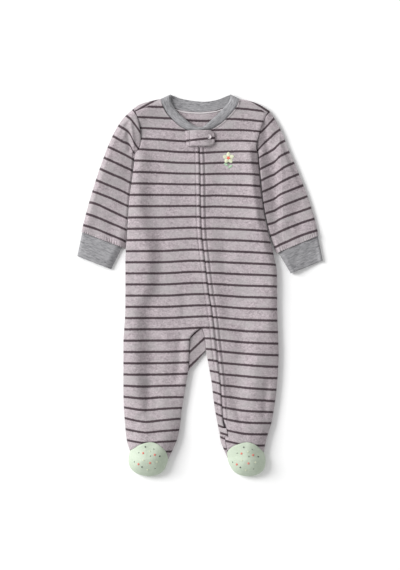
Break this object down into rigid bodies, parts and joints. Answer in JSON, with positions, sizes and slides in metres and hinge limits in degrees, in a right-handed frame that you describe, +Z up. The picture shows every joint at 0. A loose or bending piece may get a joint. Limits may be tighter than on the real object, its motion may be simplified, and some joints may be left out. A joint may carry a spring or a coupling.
{
  "type": "footed baby sleeper",
  "caption": "footed long-sleeved baby sleeper in striped fleece with a rib neckband and cuffs, an off-centre zip under a snapped guard, and plain feet, laid flat on its back",
  "frame": {"origin": "on the surface that the sleeper lies on, below the middle of its box", "axes": "+Z up from the surface and out of the garment's front, +Y from the feet to the neck, +X to the wearer's left"},
  "size_m": [0.3924, 0.61, 0.0341],
  "materials": {
    "striped_fleece": "brushed microfleece in a heathered mauve grey with thin dark plum stripes, matt with a soft nap",
    "mint_fleece": "plain pale mint microfleece, matt with a soft nap",
    "rib_knit": "grey melange rib knit, matt",
    "zip_coil": "nylon zip coil on woven tape, dull",
    "zip_metal": "grey enamelled zinc, satin",
    "snap_plastic": "clear acetal snap cap, glossy"
  },
  "bodies": {
    "root": {"back": "striped_fleece", "front_right": "striped_fleece", "front_left": "striped_fleece", "sleeve_right": "striped_fleece", "sleeve_left": "striped_fleece", "cuff_right": "rib_knit", "cuff_left": "rib_knit", "neckband": "rib_knit", "foot_cap_right": "mint_fleece", "foot_cap_left": "mint_fleece", "foot_sole_right": "mint_fleece", "foot_sole_left": "mint_fleece", "crotch_gusset": "striped_fleece", "zip_tape_right": "zip_coil", "zip_tape_left": "zip_coil", "zip_slider": "zip_metal", "zip_pull": "zip_metal", "zip_guard": "striped_fleece", "snap": "snap_plastic", "zip_end_tab": "striped_fleece"}
  },
  "joints": []
}
